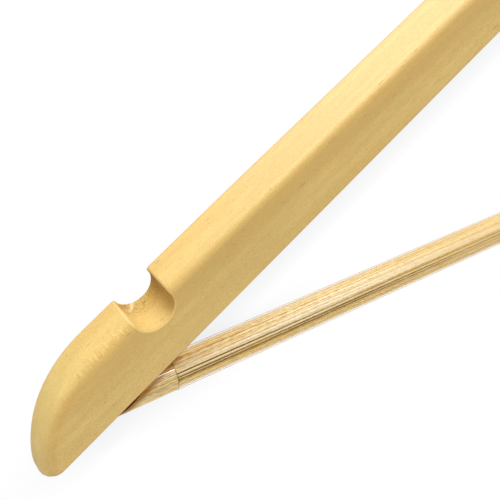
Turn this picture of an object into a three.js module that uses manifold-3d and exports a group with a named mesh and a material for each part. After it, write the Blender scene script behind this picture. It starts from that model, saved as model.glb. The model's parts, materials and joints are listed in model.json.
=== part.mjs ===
// A flat wooden suit hanger: two arms finger-jointed under a swivel hook, a strap notch near each tip,
// and a round trouser bar in a clear ribbed sleeve. Millimetres, +Z up, X along the bar, front towards -Y.
// The origin is the point inside the hook's crook where a rail carries the hanger.
import * as THREE from "three";
import { mergeVertices } from "three/addons/utils/BufferGeometryUtils.js";
import Module from "manifold-3d";

const wasm = await Module();
wasm.setup();

// The wooden body's outline
const overallWidth = 445;
const thickness = 12;
const shoulderSlope = 31; // degrees, the top edge
const armTaper = 1.4; // degrees that the underside is steeper, so the arm slims towards the crown
const armDepth = 21.55; // upright, at the strap notch
const crownRadius = 30; // where the two top edges meet
const archRadius = 100; // where the two lower edges meet

// The arm's end: past the notch the top edge curves down into a small nose
const endRun = 13.6; // level, from the notch's middle to where the curve starts
const endRadius = 35.9;
const noseRadius = 1.8;

// Edges rounded over towards the front and back faces
const topRound = 1.5;
const lowerRound = 1.1;
const sandedRound = 2.3; // the top edge where the end's curve starts
const sandedRun = 40; // level, from there back to where the top edge is crisp again
const sandedEndRadius = 30; // the end's curve as it shows on the faces
const sandedNoseRadius = 0.8;
const rimLeft = 0.4; // least width of rim between the rounded front and back edges

// The strap notch: a round cut a little deeper than its own half, with blunted lips
const notchRadius = 5.1;
const notchSink = 1.23; // its middle below the top edge, square to the edge
const notchLip = 0.8; // rounding where it meets the top edge
const notchBreak = 0.6; // rounding where it meets the faces

// The finger joint between the arms
const fingerLength = 9;
const fingerPitch = 5;
const fingerTip = 0.6; // blunt end of each finger
const glueGap = 0.6; // between finger tip and root

// The trouser bar, its sleeve and the brads that pin it
const barBelow = 6.2; // bar's axis below the underside, upright at the notch
const barDiameter = 8.9; // the bare ends
const barBite = 12; // the bar's blind hole, along its axis from the arm's underside
const barEndChamfer = 0.6;
const sleeveStart = 15.5; // bare bar from the arm's underside to the sleeve, along the axis
const sleeveDiameter = 9.2; // over the ribs
const sleeveWall = 0.45;
const ribCount = 40;
const ribDepth = 0.15;
const bradDiameter = 1.4;
const bradCover = 1.75; // wood left between the brad's point and the front face
const bradHeadDiameter = 2.4;
const bradHeadHeight = 0.6;
const bradPoint = 1.2;

// The swivel hook and what holds it in the crown
const wireDiameter = 3.6;
const shankRise = 21; // straight shank above the crown
const bendRadius = 12;
const bendTurn = 50; // degrees that the wire leans over before the crook
const crookRadius = 22; // to the wire's middle
const crookEnd = 186; // degrees round the crook, from its right side over the top
const tipRadius = 11;
const tipTurn = 34; // degrees that the tip flares out again
const ferruleWall = 1.15;
const ferruleLip = 1.8; // flange past the barrel
const ferruleLipHeight = 1.3;
const ferruleDepth = 7;
const ferruleSink = 0.9; // flat seat cut into the crown
const washerWidth = 2.05; // of the ring
const washerHeight = 0.8;
const nutWall = 1.05; // from bore to flat
const nutHeight = 3;
const shankProud = 1.2; // shank's end below the nut
const counterboreGap = 0.4; // round the washer
const counterboreDepth = 7.2; // from the top of the arch

// Clearances
const seatGap = 0.25; // between pieces that bear on or sit in each other
const sleeveGap = 0.15; // between the sleeve and the bar's waist

// How finely round stretches are drawn
const roundSteps = 5;
const crownSteps = 6;
const endSteps = 16;
const noseSteps = 8;
const lipSteps = 4;
const notchSteps = 24;
const archSteps = 10;
const boreSides = 48;
const smallSides = 24;
const wireSides = 14;
const wireSteps = 84;
const overcut = 5; // how far a cutter runs past what it cuts

// Colours read from natural lacquered wood, clear vinyl and bright plated steel
function finish(color, roughness, metalness) {
  return new THREE.MeshStandardMaterial({ color, roughness, metalness });
}
const armWood = () => finish(0xd8b76f, 0.5, 0);
const barWood = () => finish(0xb98d4a, 0.35, 0);
const clearVinyl = () => finish(0xe3d3a4, 0.2, 0);
const platedSteel = () => finish(0xc9ccd0, 0.18, 1);

const half = overallWidth / 2;
const slope = THREE.MathUtils.degToRad(shoulderSlope);
const lowerSlope = THREE.MathUtils.degToRad(shoulderSlope + armTaper);
const barDrop = armDepth + barBelow;
const point = (x, z) => new THREE.Vector2(x, z);
const at = (x, y, z) => new THREE.Vector3(x, y, z);

// Outward directions of the left arm's top edge and underside
const topOut = point(-Math.sin(slope), Math.cos(slope));
const lowerOut = point(Math.sin(lowerSlope), -Math.cos(lowerSlope));
const lowerAlong = point(Math.cos(lowerSlope), Math.sin(lowerSlope));

// A point moved a distance along a direction
const moved = (from, direction, distance) => from.clone().addScaledVector(direction, distance);

// The left arm's end, measured from the notch's middle with the bar's axis at height 0.
// The nose is the circle inside the end's curve that also touches the underside.
function armEnd(topInset, lowerInset, curveRadius, tipNoseRadius) {
  const curveStart = moved(point(-endRun, barDrop - endRun * Math.tan(slope)), topOut, -topInset);
  const curveCentre = moved(curveStart, topOut, -curveRadius);
  const noseLine = moved(point(0, barDrop - armDepth), lowerOut, -lowerInset - tipNoseRadius);
  const fromCurve = noseLine.clone().sub(curveCentre);
  const reach = curveRadius - tipNoseRadius;
  const along = fromCurve.dot(lowerAlong);
  const back = along + Math.sqrt(along * along - fromCurve.lengthSq() + reach * reach);
  const noseCentre = moved(noseLine, lowerAlong, -back);
  const meeting = noseCentre.clone().sub(curveCentre).angle();
  return { curveCentre, curveRadius, noseCentre, tipNoseRadius, meeting };
}

const rimEnd = armEnd(0, 0, endRadius, noseRadius);
const faceEnd = armEnd(sandedRound, lowerRound, sandedEndRadius, sandedNoseRadius);
const noseIsLeftmost = rimEnd.meeting < Math.PI;
const notchToTip = noseIsLeftmost ? noseRadius - rimEnd.noseCentre.x : endRadius - rimEnd.curveCentre.x;

// Places along the hanger, from its middle
const notchX = notchToTip - half;
const topAtMiddle = barDrop - notchX * Math.tan(slope);
const lowerAtMiddle = barDrop - armDepth - notchX * Math.tan(lowerSlope);
const crownCentre = point(0, topAtMiddle - crownRadius / Math.cos(slope));
const archCentre = point(0, lowerAtMiddle - archRadius / Math.cos(lowerSlope));
const crownTop = crownCentre.y + crownRadius;
const archTop = archCentre.y + archRadius;
const barMouthX = notchX - (barDrop - armDepth) / Math.tan(lowerSlope);
const boreBottomX = barMouthX - barBite;
const sleeveEndX = barMouthX + sleeveStart;

// Points on an arc, from one angle to another
function arcPoints(centre, radius, from, to, steps) {
  const points = [];
  for (let i = 0; i <= steps; i++) {
    const angle = from + ((to - from) * i) / steps;
    points.push(point(centre.x + radius * Math.cos(angle), centre.y + radius * Math.sin(angle)));
  }
  return points;
}

// The strap notch in the straight edge that runs down from one point to another: lip, round cut, lip
function notchPoints(from, to, radius, lip) {
  const along = to.clone().sub(from).normalize();
  const out = point(along.y, -along.x);
  const middle = point(notchX, barDrop - notchSink / Math.cos(slope));
  const depth = from.clone().sub(middle).dot(out);
  const reach = Math.sqrt((radius + lip) ** 2 - (depth - lip) ** 2);
  const lipCentre = (side) => moved(moved(middle, out, depth - lip), along, side * reach);
  const turn = Math.atan2(reach, lip - depth);
  const down = out.angle() - Math.PI;
  return [
    ...arcPoints(lipCentre(-1), lip, out.angle(), out.angle() + turn, lipSteps),
    ...arcPoints(middle, radius, down + turn, down - turn, notchSteps).slice(1, -1),
    ...arcPoints(lipCentre(1), lip, out.angle() - turn, out.angle(), lipSteps),
  ];
}

// The left half of the outline, from the top of the crown round the tip to the top of the arch.
// The rim is the full outline, and the face outline is the flat left when the edges are rounded over.
function halfOutline(end, crownInset, lowerInset, notchInset) {
  const upright = Math.PI / 2;
  const toMiddle = point(notchX, 0);
  const curveFrom = upright + slope;
  const underside = Math.PI * 2 - upright + lowerSlope;
  const crispX = notchX - endRun + sandedRun;
  const edge = point(crispX, topAtMiddle + crispX * Math.tan(slope));
  const crispTop = moved(edge, topOut, -crownInset);
  const curveCentre = end.curveCentre.clone().add(toMiddle);
  const curve = arcPoints(curveCentre, end.curveRadius, curveFrom, end.meeting, endSteps);
  return [
    ...arcPoints(crownCentre, crownRadius - crownInset, upright, curveFrom, crownSteps),
    crispTop,
    ...notchPoints(crispTop, curve[0], notchRadius + notchInset, notchLip - notchInset),
    ...curve,
    ...arcPoints(
      end.noseCentre.clone().add(toMiddle),
      end.tipNoseRadius,
      end.meeting,
      underside,
      noseSteps,
    ).slice(1),
    ...arcPoints(archCentre, archRadius + lowerInset, upright + lowerSlope, upright, archSteps),
  ];
}

// The whole closed outline: the left half, then its mirror image back up to the crown
function wholeOutline(leftHalf) {
  const rightHalf = leftHalf.slice(1, -1).reverse();
  return [...leftHalf, ...rightHalf.map((p) => point(-p.x, p.y))];
}

// A board whose rim is rounded over to smaller flat faces at the front and back
function roundedBoard(rim, face) {
  const positions = [];
  const triangles = [];
  const count = rim.length;
  const addRing = (side, angle) => {
    rim.forEach((edge, i) => {
      const round = Math.min(edge.distanceTo(face[i]), (thickness - rimLeft) / 2);
      const p = edge.clone().lerp(face[i], 1 - Math.cos(angle));
      positions.push(p.x, side * (thickness / 2 - round * (1 - Math.sin(angle))), p.y);
    });
  };
  for (let i = roundSteps; i >= 0; i--) {
    addRing(-1, (Math.PI / 2) * (i / roundSteps));
  }
  for (let i = 0; i <= roundSteps; i++) {
    addRing(1, (Math.PI / 2) * (i / roundSteps));
  }
  const rings = 2 * (roundSteps + 1);
  for (let ring = 0; ring < rings - 1; ring++) {
    for (let i = 0; i < count; i++) {
      const next = (i + 1) % count;
      const a = ring * count + i;
      const b = ring * count + next;
      triangles.push(a, a + count, b, b, a + count, b + count);
    }
  }
  const last = (rings - 1) * count;
  THREE.ShapeUtils.triangulateShape(face, []).forEach(([a, b, c]) => {
    triangles.push(a, b, c);
    triangles.push(last + a, last + c, last + b);
  });
  const geometry = new THREE.BufferGeometry();
  geometry.setAttribute("position", new THREE.Float32BufferAttribute(positions, 3));
  geometry.setIndex(triangles);
  return geometry;
}

// A closed geometry as a solid that can be joined and cut
function solidOf(geometry) {
  const bare = geometry.clone();
  bare.deleteAttribute("normal");
  bare.deleteAttribute("uv");
  const merged = mergeVertices(bare);
  return new wasm.Manifold(
    new wasm.Mesh({
      numProp: 3,
      vertProperties: new Float32Array(merged.attributes.position.array),
      triVerts: new Uint32Array(merged.index.array),
    }),
  );
}

// A solid back as a geometry
function geometryOf(solid) {
  const mesh = solid.getMesh();
  const geometry = new THREE.BufferGeometry();
  geometry.setAttribute("position", new THREE.BufferAttribute(mesh.vertProperties, 3));
  geometry.setIndex(new THREE.BufferAttribute(mesh.triVerts, 1));
  geometry.computeVertexNormals();
  return geometry;
}

// A round bar between two points
function roundBar(radius, from, to, sides) {
  const along = to.clone().sub(from);
  const middle = from.clone().add(to).divideScalar(2);
  const bar = new THREE.CylinderGeometry(radius, radius, along.length(), sides);
  const turn = new THREE.Quaternion().setFromUnitVectors(at(0, 1, 0), along.normalize());
  return bar.applyQuaternion(turn).translate(middle.x, middle.y, middle.z);
}

// A turned piece about the Z axis from a closed profile of [radius, height] points
function turned(profile, sides) {
  const points = profile.map(([radius, height]) => point(radius, height));
  return new THREE.LatheGeometry(points, sides).rotateX(Math.PI / 2);
}

// A shape drawn in the hanger's own plane, extruded evenly to the front and back
function slab(points, depth) {
  const shape = new THREE.Shape(points);
  const geometry = new THREE.ExtrudeGeometry(shape, { depth, bevelEnabled: false });
  return geometry.rotateX(Math.PI / 2).translate(0, depth / 2, 0);
}

// Everything to one side of the finger joint's saw-tooth line (side -1 is the left arm)
function fingerSide(side) {
  const middleX = (side * glueGap) / 2;
  const spareFingers = 2;
  const fingers = Math.ceil((crownTop - archTop) / fingerPitch) + spareFingers;
  const foot = (crownTop + archTop - fingers * fingerPitch) / 2;
  const line = [];
  for (let i = 0; i < fingers; i++) {
    const z = foot + i * fingerPitch;
    line.push(point(middleX - fingerLength / 2, z));
    line.push(point(middleX - fingerLength / 2, z + fingerTip));
    line.push(point(middleX + fingerLength / 2, z + fingerPitch / 2));
    line.push(point(middleX + fingerLength / 2, z + fingerPitch / 2 + fingerTip));
  }
  const bottom = Math.min(foot, -half);
  const top = Math.max(foot + fingers * fingerPitch, half);
  const farX = side * (half + overcut);
  const outline = [
    point(farX, bottom),
    point(middleX, bottom),
    ...line,
    point(middleX, top),
    point(farX, top),
  ];
  return slab(outline, thickness + 2 * overcut);
}

const barRadius = barDiameter / 2;
const bradLength = thickness - seatGap - bradCover;
const wireRadius = wireDiameter / 2;
const shankHole = wireRadius + seatGap;
const barrelRadius = shankHole + ferruleWall;
const flangeRadius = barrelRadius + ferruleLip;
const washerRadius = shankHole + washerWidth;
const washerSeat = archTop + counterboreDepth;
const ferruleSeat = crownTop - ferruleSink;
const bradX = (barMouthX + boreBottomX) / 2;
const boreMouthX = barMouthX + (barRadius + seatGap) / Math.tan(lowerSlope) + overcut;
const bradHeadTop = thickness / 2 - seatGap;

// The hook's way through the crown: ferrule seat and barrel hole above, counterbore for the nut below
function hookWay() {
  const top = crownTop + overcut;
  const bottom = archTop - overcut;
  const hole = (radius, low, high) => solidOf(roundBar(radius, at(0, 0, low), at(0, 0, high), boreSides));
  return hole(shankHole, bottom, top)
    .add(hole(flangeRadius + seatGap, ferruleSeat, top))
    .add(hole(barrelRadius + seatGap, ferruleSeat - ferruleDepth - seatGap, top))
    .add(hole(washerRadius + counterboreGap, bottom, washerSeat));
}

// The bar's blind hole and the brad's hole in one arm
function armCuts(side) {
  const bore = roundBar(
    barRadius + seatGap,
    at(-side * boreBottomX, 0, 0),
    at(-side * boreMouthX, 0, 0),
    boreSides,
  );
  return solidOf(bore).add(bradWay(side));
}

// The hole that a brad is driven into from the back face
function bradWay(side) {
  const x = -side * bradX;
  const shank = roundBar(
    bradDiameter / 2 + seatGap,
    at(x, bradHeadTop - bradLength - seatGap, 0),
    at(x, thickness, 0),
    smallSides,
  );
  const head = roundBar(
    bradHeadDiameter / 2 + seatGap,
    at(x, bradHeadTop - bradHeadHeight - seatGap, 0),
    at(x, thickness, 0),
    smallSides,
  );
  return solidOf(shank).add(solidOf(head));
}

// The body is rounded over as one board, then parted at the finger joint
const rim = wholeOutline(halfOutline(rimEnd, 0, 0, 0));
const face = wholeOutline(halfOutline(faceEnd, topRound, lowerRound, notchBreak));
const body = solidOf(roundedBoard(rim, face)).subtract(hookWay());

function arm(side) {
  return geometryOf(body.intersect(solidOf(fingerSide(side))).subtract(armCuts(side)));
}

// The bar: full size at both ends, with a shallow waist between them that keeps the sleeve in place
function trouserBar() {
  const end = -boreBottomX - seatGap;
  const waistEnd = -sleeveEndX + sleeveGap;
  const waist = sleeveDiameter / 2 - sleeveWall - sleeveGap;
  const profile = [
    [0, -end],
    [barRadius - barEndChamfer, -end],
    [barRadius, barEndChamfer - end],
    [barRadius, -waistEnd],
    [waist, -waistEnd],
    [waist, waistEnd],
    [barRadius, waistEnd],
    [barRadius, end - barEndChamfer],
    [barRadius - barEndChamfer, end],
    [0, end],
  ];
  const dowel = solidOf(turned(profile, boreSides).rotateY(Math.PI / 2));
  return geometryOf(dowel.subtract(bradWay(-1)).subtract(bradWay(1)));
}

// The sleeve: a thin tube whose outside rises and falls in fine ribs along the bar
function barSleeve() {
  const pointsPerRib = 4;
  const outline = [];
  for (let i = 0; i < ribCount * pointsPerRib; i++) {
    const angle = (i / (ribCount * pointsPerRib)) * Math.PI * 2;
    const radius = sleeveDiameter / 2 - (ribDepth / 2) * (1 - Math.cos(ribCount * angle));
    outline.push(point(radius * Math.cos(angle), radius * Math.sin(angle)));
  }
  const shape = new THREE.Shape(outline);
  const bore = new THREE.Path().absarc(0, 0, sleeveDiameter / 2 - sleeveWall, 0, Math.PI * 2, true);
  shape.holes.push(bore);
  const depth = -2 * sleeveEndX;
  const tube = new THREE.ExtrudeGeometry(shape, {
    depth,
    bevelEnabled: false,
    curveSegments: boreSides / 2,
  });
  return tube.translate(0, 0, -depth / 2).rotateY(Math.PI / 2);
}

// A brad: flat head flush with the back face, pointed end in the bar
function brad() {
  const radius = bradDiameter / 2;
  const head = bradHeadDiameter / 2;
  const profile = [
    [0, 0],
    [radius, bradPoint],
    [radius, bradLength - bradHeadHeight],
    [head, bradLength - bradHeadHeight],
    [head, bradLength],
    [0, bradLength],
  ];
  return turned(profile, smallSides).rotateX(-Math.PI / 2).translate(0, bradHeadTop - bradLength, 0);
}

// An arc in the hanger's own plane, for the hook's centre line
class PlaneArc extends THREE.Curve {
  constructor(centre, radius, from, to) {
    super();
    Object.assign(this, { centre, radius, from, to });
  }

  getPoint(t) {
    const angle = this.from + (this.to - this.from) * t;
    return at(
      this.centre.x + this.radius * Math.cos(angle),
      0,
      this.centre.y + this.radius * Math.sin(angle),
    );
  }
}

// The hook's centre line: shank, lean, straight run to the crook, round the rail, and the flared tip
const lean = THREE.MathUtils.degToRad(bendTurn);
const nutFoot = washerSeat - seatGap - washerHeight - seatGap - nutHeight;
const shankFoot = nutFoot - shankProud;
const bendFoot = crownTop + shankRise;
const leanRun = (crookRadius * Math.cos(lean) - bendRadius * (1 - Math.cos(lean))) / Math.sin(lean);
const crookZ = bendFoot + (bendRadius + crookRadius) * Math.sin(lean) + leanRun * Math.cos(lean);
const railPoint = crookZ + crookRadius - wireRadius;

function hookLine() {
  const turnEnd = THREE.MathUtils.degToRad(crookEnd);
  const flare = THREE.MathUtils.degToRad(tipTurn);
  const shank = new THREE.LineCurve3(at(0, 0, shankFoot), at(0, 0, bendFoot));
  const bend = new PlaneArc(point(bendRadius, bendFoot), bendRadius, Math.PI, Math.PI - lean);
  const crook = new PlaneArc(point(0, crookZ), crookRadius, -lean, turnEnd);
  const run = new THREE.LineCurve3(bend.getPoint(1), crook.getPoint(0));
  const tipOut = point(Math.cos(turnEnd), Math.sin(turnEnd));
  const tipCentre = moved(point(0, crookZ), tipOut, crookRadius + tipRadius);
  const tip = new PlaneArc(tipCentre, tipRadius, turnEnd - Math.PI, turnEnd - Math.PI - flare);
  const line = new THREE.CurvePath();
  line.curves.push(shank, bend, run, crook, tip);
  return line;
}

// The hook: one bent wire with a rounded tip
function hook() {
  const line = hookLine();
  const section = new THREE.Shape().absarc(0, 0, wireRadius, 0, Math.PI * 2, false);
  const wire = new THREE.ExtrudeGeometry(section, {
    steps: wireSteps,
    curveSegments: wireSides / 2,
    extrudePath: line,
    bevelEnabled: false,
  });
  const end = line.getPoint(1);
  const bead = new THREE.SphereGeometry(wireRadius, wireSides, wireSides / 2);
  bead.translate(end.x, end.y, end.z);
  return geometryOf(solidOf(wire).add(solidOf(bead)));
}

// The ferrule: a flanged bush that lines the hook's hole at the top of the crown
function hookFerrule() {
  const foot = ferruleSeat - ferruleDepth;
  const under = ferruleSeat + seatGap;
  const rounding = ferruleLipHeight / 2;
  const profile = [
    [shankHole, foot],
    [barrelRadius, foot],
    [barrelRadius, under],
    [flangeRadius, under],
    [flangeRadius, under + rounding],
    [flangeRadius - rounding, under + ferruleLipHeight],
    [shankHole, under + ferruleLipHeight],
    [shankHole, foot],
  ];
  return turned(profile, boreSides);
}

// The washer that the nut bears on, at the top of the counterbore
function hookWasher() {
  const top = washerSeat - seatGap;
  const foot = top - washerHeight;
  const profile = [
    [shankHole, foot],
    [washerRadius, foot],
    [washerRadius, top],
    [shankHole, top],
    [shankHole, foot],
  ];
  return turned(profile, boreSides);
}

// The six-sided nut on the shank's end
function hookNut() {
  const flats = 6;
  const corner = (shankHole + nutWall) / Math.cos(Math.PI / flats);
  const corners = arcPoints(point(0, 0), corner, 0, Math.PI * 2, flats).slice(1);
  const hexagon = new THREE.Shape(corners);
  hexagon.holes.push(new THREE.Path().absarc(0, 0, shankHole, 0, Math.PI * 2, true));
  const nut = new THREE.ExtrudeGeometry(hexagon, {
    depth: nutHeight,
    bevelEnabled: false,
    curveSegments: smallSides / 2,
  });
  return nut.translate(0, 0, nutFoot);
}

// The hanger, with the rail's point in the crook brought to the origin
const hanger = new THREE.Group();
hanger.position.z = -railPoint;

function add(name, geometry, material) {
  const mesh = new THREE.Mesh(geometry, material);
  mesh.name = name;
  hanger.add(mesh);
  return mesh;
}

add("left_arm", arm(-1), armWood());
add("right_arm", arm(1), armWood());
add("trouser_bar", trouserBar(), barWood());
add("bar_sleeve", barSleeve(), clearVinyl());
add("left_bar_brad", brad(), platedSteel()).position.x = bradX;
add("right_bar_brad", brad(), platedSteel()).position.x = -bradX;
add("hook", hook(), platedSteel());
add("hook_ferrule", hookFerrule(), platedSteel());
add("hook_washer", hookWasher(), platedSteel());
add("hook_nut", hookNut(), platedSteel());

export default hanger;
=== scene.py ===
# A flat suit hanger in natural lacquered wood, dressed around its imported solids.
# Metres, +Z up, the front towards -Y.
import json
import math
import bmesh
import bpy
from mathutils import Matrix, Vector


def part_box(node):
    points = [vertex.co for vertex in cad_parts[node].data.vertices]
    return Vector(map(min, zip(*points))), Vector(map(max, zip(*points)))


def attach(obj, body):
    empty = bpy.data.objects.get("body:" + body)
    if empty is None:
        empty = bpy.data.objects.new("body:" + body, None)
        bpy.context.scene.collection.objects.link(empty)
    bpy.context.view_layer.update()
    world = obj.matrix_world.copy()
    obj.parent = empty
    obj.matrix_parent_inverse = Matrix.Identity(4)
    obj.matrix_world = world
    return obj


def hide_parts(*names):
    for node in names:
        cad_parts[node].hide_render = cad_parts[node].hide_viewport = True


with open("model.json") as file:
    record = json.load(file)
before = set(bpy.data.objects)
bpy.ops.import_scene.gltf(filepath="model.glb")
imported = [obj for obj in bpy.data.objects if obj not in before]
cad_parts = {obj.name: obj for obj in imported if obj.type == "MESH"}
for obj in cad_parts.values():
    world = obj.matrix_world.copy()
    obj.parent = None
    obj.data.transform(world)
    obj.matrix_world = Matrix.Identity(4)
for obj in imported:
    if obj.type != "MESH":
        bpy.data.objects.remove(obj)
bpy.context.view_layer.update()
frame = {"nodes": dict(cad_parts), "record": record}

record = frame["record"]
mounts = {mount["name"]: mount for mount in record["mounts"]}
openings = {opening["name"]: opening["box_m"] for opening in record["physics"]["openings"]}
print("frame loaded:", ", ".join(sorted(frame["nodes"])))

# places read from the frame, on the left half
barLow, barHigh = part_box("trouser_bar")
sleeveLow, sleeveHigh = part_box("bar_sleeve")
armLow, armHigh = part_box("left_arm")
barHeight = (barLow.z + barHigh.z) / 2
shoulderOut = Vector(mounts["left_shoulder"]["axis"])
slope = math.atan2(-shoulderOut.x, shoulderOut.z)
shoulderUp = shoulderOut.dot(Vector(mounts["left_shoulder"]["pos_m"]))  # top edge, square to the slope
notchLow, notchHigh = openings["left_strap_notch"]
notchX = (notchLow[0] + notchHigh[0]) / 2
toRight = Vector((1.0, 0.0, 0.0))
toBack = Vector((0.0, 1.0, 0.0))
toTop = Vector((0.0, 0.0, 1.0))
noiseMiddle = 0.5  # what a noise swings around
plainDetail = 1.0  # of a noise without finer waves in it


def tone(red, green, blue):  # eight-bit screen values to a shader colour
    linear = []
    for value in (red, green, blue):
        share = value / 255
        linear.append(share / 12.92 if share <= 0.04045 else ((share + 0.055) / 1.055) ** 2.4)
    return (*linear, 1.0)


class Wire:  # a node's output that can stand in a sum
    def __init__(self, finish, socket):
        self.finish = finish
        self.socket = socket

    def maths(self, operation, first, second):
        return self.finish.node("ShaderNodeMath", {"operation": operation}, {0: first, 1: second})

    def __add__(self, other):
        return self.maths("ADD", self, other)

    def __radd__(self, other):
        return self.maths("ADD", other, self)

    def __sub__(self, other):
        return self.maths("SUBTRACT", self, other)

    def __rsub__(self, other):
        return self.maths("SUBTRACT", other, self)

    def __mul__(self, other):
        return self.maths("MULTIPLY", self, other)

    def __rmul__(self, other):
        return self.maths("MULTIPLY", other, self)


class Finish:  # the nodes of one material, or of the world
    def __init__(self, owner, outNode="ShaderNodeOutputMaterial"):
        self.owner = owner
        self.outNode = outNode
        owner.use_nodes = True
        self.tree = owner.node_tree
        self.tree.nodes.clear()

    def node(self, kind, settings, plugs, out=0):
        made = self.tree.nodes.new(kind)
        for name, value in settings.items():
            if name == "stops":
                ramp = made.color_ramp.elements
                while len(ramp) < len(value):
                    ramp.new(1.0)
                for element, (position, colour) in zip(ramp, value):
                    element.position = position
                    element.color = colour
            else:
                setattr(made, name, value)
        for name, value in plugs.items():
            if isinstance(value, Wire):
                self.tree.links.new(value.socket, made.inputs[name])
            else:
                made.inputs[name].default_value = value
        return Wire(self, made.outputs[out]) if made.outputs else None

    def place(self):  # where on the piece, in metres
        return self.node("ShaderNodeTexCoord", {}, {}, "Object")

    def normal(self):
        return self.node("ShaderNodeTexCoord", {}, {}, "Normal")

    def stretched(self, vector, perMetre):
        return self.node("ShaderNodeVectorMath", {"operation": "MULTIPLY"}, {0: vector, 1: perMetre})

    def noise(self, vector, perMetre, detail=2.0, roughness=0.5):
        plugs = {"Vector": self.stretched(vector, perMetre), "Scale": 1.0}
        return self.node("ShaderNodeTexNoise", {}, {**plugs, "Detail": detail, "Roughness": roughness})

    def spots(self, vector, perMetre, span):  # where a plain noise passes a span of values
        return self.between(self.noise(vector, perMetre, plainDetail), *span)

    def between(self, value, low, high):  # 0 below low, 1 above high, smooth between
        return self.node("ShaderNodeMapRange", {"interpolation_type": "SMOOTHSTEP"},
                         {"Value": value, "From Min": low, "From Max": high})

    def mixed(self, share, first, second):
        return self.node("ShaderNodeMix", {"data_type": "RGBA"}, {0: share, 6: first, 7: second}, 2)

    def measured(self, operation, first, second):
        return self.node("ShaderNodeVectorMath", {"operation": operation}, {0: first, 1: second}, "Value")

    def along(self, vector, direction):  # how far a vector reaches in a direction
        return self.measured("DOT_PRODUCT", vector, direction)

    def apart(self, vector, point):
        return self.measured("DISTANCE", vector, point)

    def size(self, value):  # without its sign
        return self.node("ShaderNodeMath", {"operation": "ABSOLUTE"}, {0: value})

    def bump(self, height, depth):
        return self.node("ShaderNodeBump", {}, {"Height": height, "Distance": depth})

    def done(self, shader):
        self.node(self.outNode, {}, {"Surface": shader})
        return self.owner

    def principled(self, plugs):
        return self.done(self.node("ShaderNodeBsdfPrincipled", {}, plugs))


def addPiece(name, mesh, body, node, material):
    piece = bpy.data.objects.new(name, mesh)
    bpy.context.scene.collection.objects.link(piece)
    mesh.materials.clear()
    mesh.materials.append(material)
    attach(piece, body)
    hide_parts(node)
    return piece


weld = {"reach": 2e-6, "crease": math.radians(32)}  # corners closer than reach become one


def welded(node, name):
    solid = bmesh.new()
    solid.from_mesh(frame["nodes"][node].data)
    bmesh.ops.remove_doubles(solid, verts=solid.verts, dist=weld["reach"])
    for face in solid.faces:
        face.smooth = True
    for edge in solid.edges:
        edge.smooth = edge.calc_face_angle(0) < weld["crease"]
    mesh = bpy.data.meshes.new(name)
    solid.to_mesh(mesh)
    solid.free()
    return mesh


def softNormals(piece):  # broad flats keep their own normal next to the rounded edges
    soften = piece.modifiers.new("softNormals", "WEIGHTED_NORMAL")
    soften.mode = "FACE_AREA"
    soften.keep_sharp = True


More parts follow.
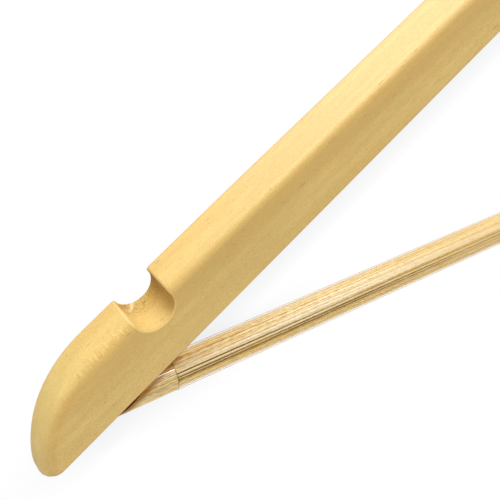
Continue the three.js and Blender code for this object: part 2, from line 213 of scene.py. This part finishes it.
# the arms
armLook = {
    "body": tone(213, 176, 92),
    "layers": {  # waves per metre along and across the grain, roughness, span of the noise, share, tone
        "band": ((13, 330, 330), 0.5, (0.35, 0.7), 1.0, tone(226, 193, 113)),
        "drift": ((32, 85, 85), 0.5, (0.4, 0.7), 0.5, tone(199, 173, 97)),
        "fleck": ((330, 800, 800), 0.6, (0.46, 0.72), 0.5, tone(214, 166, 82)),
        "fibre": ((150, 1700, 1700), 0.6, (0.55, 0.8), 0.3, tone(199, 173, 97)),
    },
    "layerDetail": 2.0,
    "shift": (0.31, 0.17),  # moves the grain, so that the two arms differ
    "stipple": tone(226, 193, 113),
    "stippleWaves": (2900, 2900, 2900),
    "stippleSpan": (0.35, 0.7),
    "stippleShare": 0.5,
    "grit": tone(166, 122, 50),  # fine dark speckle, stronger in the notch
    "gritWaves": (5200, 5200, 5200),
    "gritSpan": (0.42, 0.7),
    "gritShare": 0.4,
    "pore": tone(132, 86, 32),
    "poreWaves": (330, 2600, 2600),
    "poreSpan": (0.72, 0.8),
    "poreShare": 0.55,
    "deep": tone(196, 153, 71),  # painted shade: front faces darker just under the upper edges
    "deepReach": (0.0005, 0.0115),
    "deepShare": 0.5,
    "roughness": 0.54,
    "roughnessSpread": 0.2,
    "coat": 0.48,
    "coatRoughness": 0.36,
    "grainDepth": 0.00005,
    "fibreHeight": 0.35,  # shares of that depth
    "stippleHeight": 0.3,
    "tipStart": (0.013, 0.03),  # out from the notch, where the sanded tip begins
    # painted light: the sanded tip's sides paler where they face away from front and back
    "tipSide": tone(228, 205, 128),
    "tipSideTurn": (0.3, 0.7),  # how squarely the surface faces front or back
    "tipSideShare": 0.28,
    "crease": tone(186, 144, 64),  # painted shade between the tip's side and its front
    "creaseTurn": (0.5, 0.9, 0.93, 0.999),
    "creaseShare": 0.25,
    # painted shade on the surfaces that face down at the arm's lower edge
    "lowerEdge": tone(194, 134, 52),
    "lowerEdgeTurn": (0.06, 0.4),  # how squarely the surface faces down
    "lowerEdgeShare": 0.7,
    "tickSpan": (0.005, 0.009, 0.022, 0.031),  # where sanding ticks start and end, out from the notch
    "tickFront": (-0.0042, -0.0024),  # how far they reach back from the front edge
    "tickTurn": (0.6, 0.85),
    "tickPatchWaves": (420, 700, 700),
    "tickPatchSpan": (0.32, 0.58),
    "tickWaves": (3400, 420, 420),
    "tickLight": tone(240, 206, 126),
    "tickLightSpan": (0.52, 0.64),
    "tickDark": tone(186, 144, 66),
    "tickDarkSpan": (0.36, 0.48),
    "tickShare": 0.42,
    "notch": {
        "radius": 0.0051,
        "sink": 0.00123,  # its middle below the top edge, square to the edge
        "fade": (0.00005, 0.0004),  # past its radius, where the look of the cut ends
        "roughness": 0.72,
        "rear": (-0.001, 0.003),  # from the board's middle, where its rear part begins
        "inner": tone(164, 120, 38),  # wall nearer the hook, cut across the fibres: darker end grain with painted shade over it
        "innerTurn": (0.15, 0.95),
        "innerShare": 0.75,
        "outer": tone(186, 136, 66),
        "outerStart": (0.0034, 0.0042),  # out from its middle
        "outerSpan": (0.3, 0.6),
        "outerShare": 0.7,
        "vessel": tone(120, 78, 24),  # fibres torn open on the floor
        "vesselWaves": (700, 2600, 2600),
        "vesselSpan": (0.58, 0.68),
        "vesselShare": 0.6,
        "stripe": tone(255, 240, 200),  # left by the cutter on the outer wall
        "stripeAt": 0.0052,  # out from the notch's middle, half way through the board
        "stripeLean": 0.42,  # and nearer the middle towards the back
        "stripeHalf": 0.00055,
        "stripeCore": 0.2,  # share of that with the full tone
        "stripeStart": (0.0015, 0.0035),  # from the board's middle
        "stripeShare": 0.45,
        "floor": tone(236, 204, 134),  # painted light: the floor paler towards the front
        "floorShare": 0.3,
        "rim": tone(246, 214, 140),  # painted highlight on the rounded front edge
        "rimWidth": 0.0007,
        "rimFront": (-0.004, -0.005),
        "rimShare": 0.55,
    },
}


def armWood(name, side):
    f = Finish(bpy.data.materials.new(name))
    look = armLook
    cut = look["notch"]
    place = f.place()
    normal = f.normal()
    outWay = Vector((side * math.cos(slope), 0.0, -math.sin(slope)))  # down the arm
    upWay = Vector((side * math.sin(slope), 0.0, math.cos(slope)))
    topZ = (shoulderUp + notchX * math.sin(slope)) / math.cos(slope)
    notchZ = topZ - cut["sink"] / math.cos(slope)
    notchMiddle = Vector((-side * notchX, 0.0, notchZ))
    shiftX, shiftY = look["shift"]
    grain = f.node("ShaderNodeMapping", {}, {
        "Vector": place,
        "Location": (shiftX * side, shiftY * side, 0.0),
        "Rotation": (0.0, -side * slope, 0.0),
    })
    facing = f.along(normal, outWay)
    across = f.along(place, toBack)
    face = f.size(f.along(normal, toBack))  # 1 on the front and back
    outward = f.along(place, outWay) - notchMiddle.dot(outWay)
    depth = shoulderUp - f.along(place, upWay)  # below the top edge
    fromNotch = f.apart(f.stretched(place, toRight + toTop), notchMiddle)
    fadeStart, fadeEnd = cut["fade"]
    notch = 1 - f.between(fromNotch, cut["radius"] + fadeStart, cut["radius"] + fadeEnd)

    colour = look["body"]
    layers = {}
    for layer, (waves, roughness, span, share, layerTone) in look["layers"].items():
        layers[layer] = f.noise(grain, waves, look["layerDetail"], roughness)
        colour = f.mixed(f.between(layers[layer], *span) * share, colour, layerTone)
    stipple = f.noise(place, look["stippleWaves"], plainDetail)
    colour = f.mixed(f.between(stipple, *look["stippleSpan"]) * look["stippleShare"], colour, look["stipple"])
    grit = f.spots(place, look["gritWaves"], look["gritSpan"])
    colour = f.mixed(grit * (1 + notch) * look["gritShare"], colour, look["grit"])
    # painted shade on the front faces just under the upper edges
    shade = (1 - f.between(depth, *look["deepReach"])) * face
    colour = f.mixed(shade * look["deepShare"], colour, look["deep"])

    # the sanded tip with painted light on its sides and painted shade at its crease, and painted shade on the
    # arm's down-facing lower edge
    tip = f.between(outward, *look["tipStart"])
    tipSide = (1 - f.between(face, *look["tipSideTurn"])) * tip
    start, full, fade, end = look["creaseTurn"]
    # painted shade where the tip's side turns into its front
    crease = f.between(face, start, full) * (1 - f.between(face, fade, end)) * tip
    lowerEdge = f.between(f.along(normal, -upWay), *look["lowerEdgeTurn"])
    colour = f.mixed(tipSide * look["tipSideShare"], colour, look["tipSide"])
    colour = f.mixed(crease * look["creaseShare"], colour, look["crease"])
    colour = f.mixed(lowerEdge * look["lowerEdgeShare"], colour, look["lowerEdge"])

    # the notch: dark inner wall, cut across the fibres and with painted shade, torn fibres on the floor, the
    # cutter's stripe on the outer wall, painted light on the floor's front and a painted highlight on the
    # rounded front edge
    rear = f.between(across, *cut["rear"])
    vessel = f.spots(grain, cut["vesselWaves"], cut["vesselSpan"]) * notch * rear
    # painted shade on the inner wall, over its darker end grain
    inner = f.between(facing, *cut["innerTurn"]) * notch
    outer = f.between(outward, *cut["outerStart"]) * notch * rear
    outer = outer * f.between(layers["fleck"], *cut["outerSpan"])
    offStripe = f.size(outward + across * cut["stripeLean"] - cut["stripeAt"])
    stripe = 1 - f.between(offStripe, cut["stripeHalf"] * cut["stripeCore"], cut["stripeHalf"])
    stripe = stripe * notch * f.between(across, *cut["stripeStart"])
    # painted highlight along the notch's rounded front edge
    rim = 1 - f.between(fromNotch, cut["radius"], cut["radius"] + cut["rimWidth"])
    rim = rim * (1 - notch) * f.between(across, *cut["rimFront"])
    # painted light on the front part of the notch's floor
    colour = f.mixed(notch * (1 - rear) * cut["floorShare"], colour, cut["floor"])
    colour = f.mixed(inner * (stipple + noiseMiddle) * cut["innerShare"], colour, cut["inner"])
    colour = f.mixed(outer * cut["outerShare"], colour, cut["outer"])
    colour = f.mixed(stripe * cut["stripeShare"], colour, cut["stripe"])
    colour = f.mixed(vessel * cut["vesselShare"], colour, cut["vessel"])
    colour = f.mixed(rim * cut["rimShare"], colour, cut["rim"])

    # short ticks left by sanding the rounded front edge towards the tip
    start, full, fade, end = look["tickSpan"]
    rounded = (1 - f.between(across, *look["tickFront"])) * (1 - f.between(face, *look["tickTurn"]))
    patch = f.spots(grain, look["tickPatchWaves"], look["tickPatchSpan"])
    tickPlace = f.between(outward, start, full) * (1 - f.between(outward, fade, end)) * rounded * patch
    tick = f.noise(grain, look["tickWaves"], plainDetail)
    light = f.between(tick, *look["tickLightSpan"])
    dark = 1 - f.between(tick, *look["tickDarkSpan"])
    colour = f.mixed(light * tickPlace * look["tickShare"], colour, look["tickLight"])
    colour = f.mixed(dark * tickPlace * look["tickShare"], colour, look["tickDark"])
    pore = f.spots(grain, look["poreWaves"], look["poreSpan"])
    colour = f.mixed(pore * look["poreShare"], colour, look["pore"])

    fibre = layers["fibre"]
    height = fibre * look["fibreHeight"] + stipple * look["stippleHeight"] - pore - vessel + tick * tickPlace
    roughness = look["roughness"] + (fibre - noiseMiddle) * look["roughnessSpread"]
    return f.principled({
        "Base Color": colour,
        "Roughness": roughness + notch * (cut["roughness"] - look["roughness"]),
        "Coat Weight": look["coat"] - notch * look["coat"],
        "Coat Roughness": look["coatRoughness"],
        "Normal": f.bump(height, look["grainDepth"]),
    })


for side, word in ((-1, "left"), (1, "right")):
    wood = armWood(word + "ArmWood", side)
    node = word + "_arm"
    arm = addPiece(word + "Arm", welded(node, word + "Arm"), "hanger", node, wood)
    softNormals(arm)
print("arms dressed")

# the trouser bar, in paler streaks under the sleeve than where it is bare
barLook = {
    "streakWaves": (5, 1500, 1500),  # per metre along and across the bar
    "streakDetail": 4.0,
    "streakRoughness": 0.75,
    "sleeved": (  # tones of the streaks, from a low to a high value of their noise
        (0.36, tone(178, 130, 24)),
        (0.44, tone(224, 184, 76)),
        (0.51, tone(246, 213, 128)),
        (0.57, tone(254, 237, 182)),
        (0.66, tone(255, 253, 234)),
    ),
    "bare": (
        (0.36, tone(174, 128, 20)),
        (0.44, tone(220, 180, 68)),
        (0.51, tone(241, 206, 104)),
        (0.57, tone(251, 224, 132)),
        (0.66, tone(255, 239, 166)),
    ),
    "bareFade": (-0.0002, 0.0001),  # from the sleeve's end
    "lines": (  # waves per metre, detail, share
        ((8, 3200, 3200), 2.0, 0.55),
        ((12, 6200, 6200), 1.0, 0.45),
        ((600, 4200, 4200), 1.0, 0.32),  # short dashes
    ),
    "linePale": tone(255, 250, 230),
    "linePaleSpan": (0.53, 0.64),
    "lineDark": tone(140, 92, 0),
    "lineDarkSpan": (0.36, 0.47),
    "fineWaves": (40, 3600, 3600),
    "seams": (  # painted highlight and shade in bands round the dowel: degrees from the front upwards, half width, tone, share
        (57, 4, tone(255, 250, 230), 0.4),
        (46, 9, tone(255, 242, 206), 0.3),
        (34, 3.5, tone(92, 58, 2), 0.95),
        (28, 3, tone(248, 216, 128), 0.66),
        (21, 5, tone(80, 48, 0), 0.95),
        (11, 5, tone(94, 58, 2), 0.86),
        (2, 6, tone(162, 118, 12), 0.5),
        (-12, 24, tone(204, 166, 70), 0.5),
    ),
    "seamCore": 0.3,  # share of the half width with the full tone
    "seamWaves": (26, 620, 620),
    "seamSpan": (0.34, 0.6),
    "seamLeast": 0.5,  # share of a band left where it breaks up
    "seamBare": 0.6,  # share that is lost on the bare ends
    "seamMiddle": 0.4,  # and towards the middle of its length
    "wander": 0.09,  # of those bands round the dowel, in radians
    "wanderWaves": (9, 240, 240),
    "middle": tone(212, 178, 104),  # plainer towards the middle of its length
    "middleSpan": (0.085, 0.15),
    "middleShare": 0.5,
    "nearArm": tone(150, 90, 0),  # painted shadow of the arms, close under them
    "nearArmReach": (0.0002, 0.0021),
    "nearArmLean": 0.95,  # and deeper half way through the board
    "nearArmShare": 0.8,
    "roughness": 0.34,
    "fineRoughness": 0.15,
    "sleevedRoughness": 0.3,
    "grimeRoughness": 0.4,
    "specular": 0.15,
    "coat": 0.95,
    "coatLeast": 0.3,  # share of that on the lower side
    "coatTurn": (math.radians(26), math.radians(46)),  # from the front upwards, where the coat thickens
    "coatRoughness": 0.08,
    "grainDepth": 0.000015,
    "ring": tone(74, 46, 16),  # dark line at the sleeve's ends
    "ringWidth": 0.00024,
    "ringEdge": (0.4, 0.8),  # shares of that width, out from its middle
    "ringShare": 0.7,
    "bareLength": 0.0155,  # from the arm's underside to the sleeve
    "armTaper": math.radians(1.4),
    # painted shade, near black, in the crevice where the bar leaves the arm; metallic and rougher there to
    # dull it
    "grime": tone(24, 9, 4),
    "grimeReach": (0.001, 0.0017),  # full and none, measured from the arm's underside
    "grimeLow": (0.0022, 0.0012),  # and below the bar's axis: none and full
}


def barWood():
    f = Finish(bpy.data.materials.new("barWood"))
    look = barLook
    place = f.place()
    normal = f.normal()
    outward = f.size(f.along(place, toRight))  # from the hanger's middle
    height = f.along(place, toTop) - barHeight  # from the bar's axis
    streak = f.noise(place, look["streakWaves"], look["streakDetail"], look["streakRoughness"])
    fine = f.noise(place, look["fineWaves"])
    fadeStart, fadeEnd = look["bareFade"]
    bare = f.between(outward, sleeveHigh.x + fadeStart, sleeveHigh.x + fadeEnd)
    sleeved = f.node("ShaderNodeValToRGB", {"stops": look["sleeved"]}, {"Fac": streak})
    weathered = f.node("ShaderNodeValToRGB", {"stops": look["bare"]}, {"Fac": streak})
    colour = f.mixed(bare, sleeved, weathered)
    for waves, detail, share in look["lines"]:
        line = f.noise(place, waves, detail)
        pale = f.between(line, *look["linePaleSpan"])
        dark = 1 - f.between(line, *look["lineDarkSpan"])
        colour = f.mixed(pale * share, colour, look["linePale"])
        colour = f.mixed(dark * share, colour, look["lineDark"])
    middle = 1 - f.between(outward, *look["middleSpan"])
    colour = f.mixed(middle * look["middleShare"], colour, look["middle"])

    # painted highlight and shade: pale and dark bands round the dowel, which wander and break up
    upNormal = f.along(normal, toTop)
    frontNormal = f.along(normal, -toBack)
    turn = f.node("ShaderNodeMath", {"operation": "ARCTAN2"}, {0: upNormal, 1: frontNormal})
    turn = turn + (f.noise(place, look["wanderWaves"]) - noiseMiddle) * look["wander"]
    whole = f.between(f.noise(place, look["seamWaves"]), *look["seamSpan"])
    lightBandShare = look["seamLeast"] + whole * (1 - look["seamLeast"])
    lightBandShare = lightBandShare * (1 - bare * look["seamBare"]) * (1 - middle * look["seamMiddle"])
    for degrees, half, lightBandTone, share in look["seams"]:
        off = f.size(turn - math.radians(degrees))
        lightBand = 1 - f.between(off, math.radians(half) * look["seamCore"], math.radians(half))
        colour = f.mixed(lightBand * lightBandShare * share, colour, lightBandTone)

    # the dark line at the sleeve's ends, the arms' painted shadow close under them, and painted shade, near
    # black, in the crevice there
    fromRing = f.size(outward - sleeveHigh.x - look["ringWidth"] / 2)
    edgeStart, edgeEnd = look["ringEdge"]
    ring = 1 - f.between(fromRing, look["ringWidth"] * edgeStart, look["ringWidth"] * edgeEnd)
    lowerSlope = slope + look["armTaper"]
    mouth = sleeveHigh.x + look["bareLength"]
    below = (mouth - outward) * math.sin(lowerSlope) - height * math.cos(lowerSlope)
    none, full = look["grimeLow"]
    grime = (1 - f.between(below, *look["grimeReach"])) * f.between(height, -none, -full)
    inward = armHigh.y - f.size(f.along(place, toBack))
    nearArm = 1 - f.between(below - inward * look["nearArmLean"], *look["nearArmReach"])
    colour = f.mixed(nearArm * (fine + noiseMiddle) * look["nearArmShare"], colour, look["nearArm"])
    colour = f.mixed(ring * look["ringShare"], colour, look["ring"])
    colour = f.mixed(grime, colour, look["grime"])

    thick = look["coatLeast"] + f.between(turn, *look["coatTurn"]) * (1 - look["coatLeast"])
    roughness = look["roughness"] + fine * look["fineRoughness"] + (1 - bare) * look["sleevedRoughness"]
    return f.principled({
        "Base Color": colour,
        "Metallic": grime,
        "Roughness": roughness + grime * look["grimeRoughness"],
        "Specular IOR Level": look["specular"],
        "Coat Weight": bare * (1 - grime) * thick * look["coat"],
        "Coat Roughness": look["coatRoughness"],
        "Normal": f.bump(fine, look["grainDepth"]),
    })


barMesh = welded("trouser_bar", "trouserBar")
bar = addPiece("trouserBar", barMesh, "hanger", "trouser_bar", barWood())
softNormals(bar)
print("bar dressed")

# the sleeve: a thin clear tube with uneven ribs along it
sleeveLook = {
    "wall": 0.00045,
    "ribs": 40,
    "ribDepth": 0.00015,
    "pointsPerRib": 10,
    "lengths": 48,
    "crease": math.radians(60),
    "wander": 0.06,  # how far ribs drift round the tube along its length, in radians
    "wanderWaves": 5.1,
    "wanderStart": 0.7,
    "quickShare": 0.3,  # of that drift, in quicker waves
    "quickWaves": 23,
    "evenShare": 0.62,  # of a rib's depth that is the same all round
    "unevenShare": 0.38,
    "unevenTurns": (7, 3),  # of two waves round the tube
    "unevenDrift": 3,
    "unevenStart": 1.3,
    "film": tone(226, 192, 124),
    "cloud": tone(255, 240, 204),
    "cloudWaves": (5, 1500, 1500),
    "cloudRoughness": 0.6,
    "cloudSpan": (0.5, 0.75),
    "clearest": 0.03,
    "cloudiest": 0.16,
    "rim": 0.58,
    "rimTurn": (0.45, 1.0),
    "roughness": 0.14,
    "roughnessSpread": 0.1,
    "ior": 1.9,
}


def sleeveMesh():
    look = sleeveLook
    outer = (sleeveHigh.z - sleeveLow.z) / 2
    inner = outer - look["wall"]
    around = look["ribs"] * look["pointsPerRib"]
    firstTurns, secondTurns = look["unevenTurns"]
    tube = bmesh.new()
    rings = []
    for step in range(look["lengths"] + 1):
        share = step / look["lengths"]
        x = sleeveLow.x + (sleeveHigh.x - sleeveLow.x) * share
        drift = look["wander"] * math.sin(look["wanderWaves"] * share + look["wanderStart"])
        drift += look["quickShare"] * look["wander"] * math.sin(look["quickWaves"] * share)
        outside, inside = [], []
        for i in range(around):
            angle = 2 * math.pi * i / around
            firstWave = math.sin(firstTurns * angle + look["unevenDrift"] * drift)
            secondWave = math.sin(secondTurns * angle + look["unevenStart"])
            uneven = look["evenShare"] + look["unevenShare"] * firstWave * secondWave
            valley = (1 - math.cos(look["ribs"] * (angle + drift))) / 2
            radius = outer - look["ribDepth"] * uneven * valley
            y, z = math.cos(angle), math.sin(angle)
            outside.append(tube.verts.new((x, radius * y, barHeight + radius * z)))
            inside.append(tube.verts.new((x, inner * y, barHeight + inner * z)))
        rings.append((outside, inside))
    for i in range(around):
        j = (i + 1) % around
        for (outA, inA), (outB, inB) in zip(rings, rings[1:]):
            tube.faces.new((outA[i], outA[j], outB[j], outB[i]))
            tube.faces.new((inA[j], inA[i], inB[i], inB[j]))
        for (outside, inside), order in ((rings[0], 1), (rings[-1], -1)):  # the tube's two ends
            corners = (outside[i], inside[i], inside[j], outside[j])
            tube.faces.new(corners[::order])
    bmesh.ops.recalc_face_normals(tube, faces=tube.faces)
    for face in tube.faces:
        face.smooth = True
    for edge in tube.edges:
        edge.smooth = edge.calc_face_angle(0) < look["crease"]
    mesh = bpy.data.meshes.new("barSleeve")
    tube.to_mesh(mesh)
    tube.free()
    return mesh


def clearVinyl():
    f = Finish(bpy.data.materials.new("clearVinyl"))
    look = sleeveLook
    haze = f.noise(f.place(), look["cloudWaves"], roughness=look["cloudRoughness"])
    cloud = f.between(haze, *look["cloudSpan"])
    rim = f.between(f.node("ShaderNodeLayerWeight", {}, {}, "Facing"), *look["rimTurn"])
    return f.principled({
        "Base Color": f.mixed(cloud, look["film"], look["cloud"]),
        "Roughness": look["roughness"] + cloud * look["roughnessSpread"],
        "IOR": look["ior"],
        "Alpha": look["clearest"] + cloud * (look["cloudiest"] - look["clearest"]) + rim * look["rim"],
    })


addPiece("barSleeve", sleeveMesh(), "hanger", "bar_sleeve", clearVinyl())
print("sleeve dressed")

# the hook and its fittings
steelLook = {
    "wire": tone(188, 190, 194),
    "fittings": tone(180, 182, 186),
    "brads": tone(160, 158, 154),
    "dull": tone(128, 129, 132),
    "dullWaves": (220, 220, 220),
    "dullDetail": 3.0,
    "dullSpan": (0.4, 0.75),
    "dullShare": 0.4,
    "roughness": 0.1,
    "roughnessSpread": 0.1,
    "scratchWaves": (2600, 2600, 300),
    "scratchDepth": 0.000006,
}


def brightSteel(name, colour):
    f = Finish(bpy.data.materials.new(name))
    look = steelLook
    haze = f.noise(f.place(), look["dullWaves"], look["dullDetail"])
    dull = f.between(haze, *look["dullSpan"]) * look["dullShare"]
    return f.principled({
        "Base Color": f.mixed(dull, colour, look["dull"]),
        "Metallic": 1.0,
        "Roughness": look["roughness"] + haze * look["roughnessSpread"],
        "Normal": f.bump(f.noise(f.place(), look["scratchWaves"]), look["scratchDepth"]),
    })


steelPieces = (  # name, body, node, slot, tone
    ("hook", "hook", "hook", "plated_wire", "wire"),
    ("hookNut", "hook", "hook_nut", "plated_fittings", "fittings"),
    ("hookFerrule", "hanger", "hook_ferrule", "plated_fittings", "fittings"),
    ("hookWasher", "hanger", "hook_washer", "plated_fittings", "fittings"),
    ("leftBrad", "hanger", "left_bar_brad", "brad_steel", "brads"),
    ("rightBrad", "hanger", "right_bar_brad", "brad_steel", "brads"),
)
for name, body, node, slot, colour in steelPieces:
    steel = brightSteel(name + "Steel", steelLook[colour])
    softNormals(addPiece(name + "Piece", welded(node, name), body, node, steel))
print("steel dressed")

# paper behind and below, which lights the hanger and carries a painted shade from ambient occlusion in a band
# under the arms
# the camera sees the white room through it, so that the hanger stays in sight as it turns on its hook
paperLook = {
    "behind": 0.0008,  # gap behind the hanger's back
    "below": 0.2,
    "reach": 3.0,
    "plain": (0.82, 0.82, 0.82, 1.0),  # as the hanger sees it
    "shade": (0.64, 0.65, 0.68, 1.0),  # where the hanger stands close above it
    "shadeReach": 0.022,
    "shadeSamples": 8,
    "shadeStart": (0.014, 0.03),  # below the arms' top edges
    "shadeEnd": (0.036, 0.058),
    "lean": (-3.2, 0.0, 6.0),  # turns the shade away from the light, to below the arms
}


def paper(name, oneSided):
    f = Finish(bpy.data.materials.new(name))
    look = paperLook
    leaning = f.node("ShaderNodeVectorMath", {"operation": "ADD"}, {0: f.normal(), 1: look["lean"]})
    towards = f.node("ShaderNodeVectorMath", {"operation": "NORMALIZE"}, {0: leaning})
    lit = f.node("ShaderNodeAmbientOcclusion", {"samples": look["shadeSamples"]},
                 {"Distance": look["shadeReach"], "Normal": towards}, "AO")
    side = f.size(f.along(f.place(), toRight))
    depth = shoulderUp + side * shoulderOut.x - f.along(f.place(), toTop) * shoulderOut.z
    band = f.between(depth, *look["shadeStart"]) * (1 - f.between(depth, *look["shadeEnd"]))
    clear = f.node("ShaderNodeBsdfTransparent", {}, {})
    shade = f.node("ShaderNodeBsdfTransparent", {}, {"Color": look["shade"]})
    shown = f.node("ShaderNodeMixShader", {}, {0: (1 - lit) * band, 1: clear, 2: shade})
    plain = f.node("ShaderNodeBsdfDiffuse", {}, {"Color": look["plain"]})
    camera = f.node("ShaderNodeLightPath", {}, {}, "Is Camera Ray")
    front = f.node("ShaderNodeMixShader", {}, {0: camera, 1: plain, 2: shown})
    if not oneSided:
        return f.done(front)
    back = f.node("ShaderNodeNewGeometry", {}, {}, "Backfacing")
    return f.done(f.node("ShaderNodeMixShader", {}, {0: back, 1: front, 2: clear}))


def sheetOfPaper(name, corners, oneSided):
    mesh = bpy.data.meshes.new(name)
    mesh.from_pydata(corners, [], [(0, 1, 2, 3)])
    mesh.materials.append(paper(name, oneSided))
    sheet = bpy.data.objects.new(name, mesh)
    bpy.context.scene.collection.objects.link(sheet)
    sheet.visible_glossy = False  # shiny surfaces see the white room instead
    sheet.visible_shadow = False  # and lamps shine through


reach = paperLook["reach"]
backY = armHigh.y + paperLook["behind"]
floorZ = armLow.z - paperLook["below"]
wall = [(-reach, backY, -reach), (reach, backY, -reach), (reach, backY, reach), (-reach, backY, reach)]
floor = [(-reach, -reach, floorZ), (reach, -reach, floorZ), (reach, reach, floorZ), (-reach, reach, floorZ)]
sheetOfPaper("backPaper", wall, True)
sheetOfPaper("floorPaper", floor, False)
print("paper laid")

# lamps round the left end, and the white room
lightAim = Vector((-0.15, 0.0, -0.18))
lightLook = {
    "keyStrip": {"way": (0.33, -0.55, 0.765), "distance": 1.1, "long": 0.4, "wide": 0.09, "watts": 1.8},
    "overBox": {"way": (-0.05, -0.12, 0.99), "distance": 1.2, "long": 0.7, "wide": 0.5, "watts": 5.4},
    "backBox": {"way": (0.02, 0.65, 0.76), "distance": 1.0, "long": 0.55, "wide": 0.55, "watts": 4.4},
}
for name, look in lightLook.items():
    light = bpy.data.lights.new(name, "AREA")
    light.shape = "RECTANGLE"
    light.size = look["long"]
    light.size_y = look["wide"]
    light.energy = look["watts"]
    lamp = bpy.data.objects.new(name, light)
    back = Vector(look["way"]).normalized()
    across = (toRight - back * back.x).normalized()  # the lamp's long side lies along the hanger
    lamp.rotation_euler = Matrix((across, back.cross(across), back)).transposed().to_euler()
    lamp.location = lightAim + back * look["distance"]
    bpy.context.scene.collection.objects.link(lamp)

worldLook = {
    "fill": 0.78,
    "gloss": (0.38, 1.0),  # what shiny surfaces see below and above
    "turn": (-0.25, 0.45),  # heights between which that changes
}


def whiteRoom():
    f = Finish(bpy.data.worlds.new("whiteRoom"), "ShaderNodeOutputWorld")
    camera = f.node("ShaderNodeLightPath", {}, {}, "Is Camera Ray")
    glossy = f.node("ShaderNodeLightPath", {}, {}, "Is Glossy Ray")
    through = f.node("ShaderNodeLightPath", {}, {}, "Is Transmission Ray")
    height = f.along(f.node("ShaderNodeTexCoord", {}, {}, "Generated"), toTop)
    low, high = worldLook["gloss"]
    shown = low + f.between(height, *worldLook["turn"]) * (high - low)
    seen = f.node("ShaderNodeMath", {"operation": "MAXIMUM"}, {0: camera, 1: through})
    level = worldLook["fill"] + glossy * (shown - worldLook["fill"]) + seen * (1 - worldLook["fill"])
    white = (1.0, 1.0, 1.0, 1.0)
    return f.done(f.node("ShaderNodeBackground", {}, {"Color": white, "Strength": level}))


bpy.context.scene.world = whiteRoom()
print("lights set")

# the camera, close to the left tip and looking down along the arm
cameraLook = {
    "fromNotch": (-0.05753, -0.13062, 0.13709),  # from the bar's axis under the notch
    "lookAlong": (0.45514, 0.68377, -0.57037),
    "lens": 56.8,
    "sensor": 36.0,
    "nearest": 0.01,  # closest that it sees
}
camera = bpy.data.objects.new("camera", bpy.data.cameras.new("camera"))
camera.data.sensor_width = cameraLook["sensor"]
camera.data.lens = cameraLook["lens"]
camera.data.clip_start = cameraLook["nearest"]
camera.location = Vector((notchX, 0.0, barHeight)) + Vector(cameraLook["fromNotch"])
camera.rotation_euler = Vector(cameraLook["lookAlong"]).to_track_quat("-Z", "Y").to_euler()
bpy.context.scene.collection.objects.link(camera)
bpy.context.scene.camera = camera
bpy.context.scene.view_settings.view_transform = "Standard"
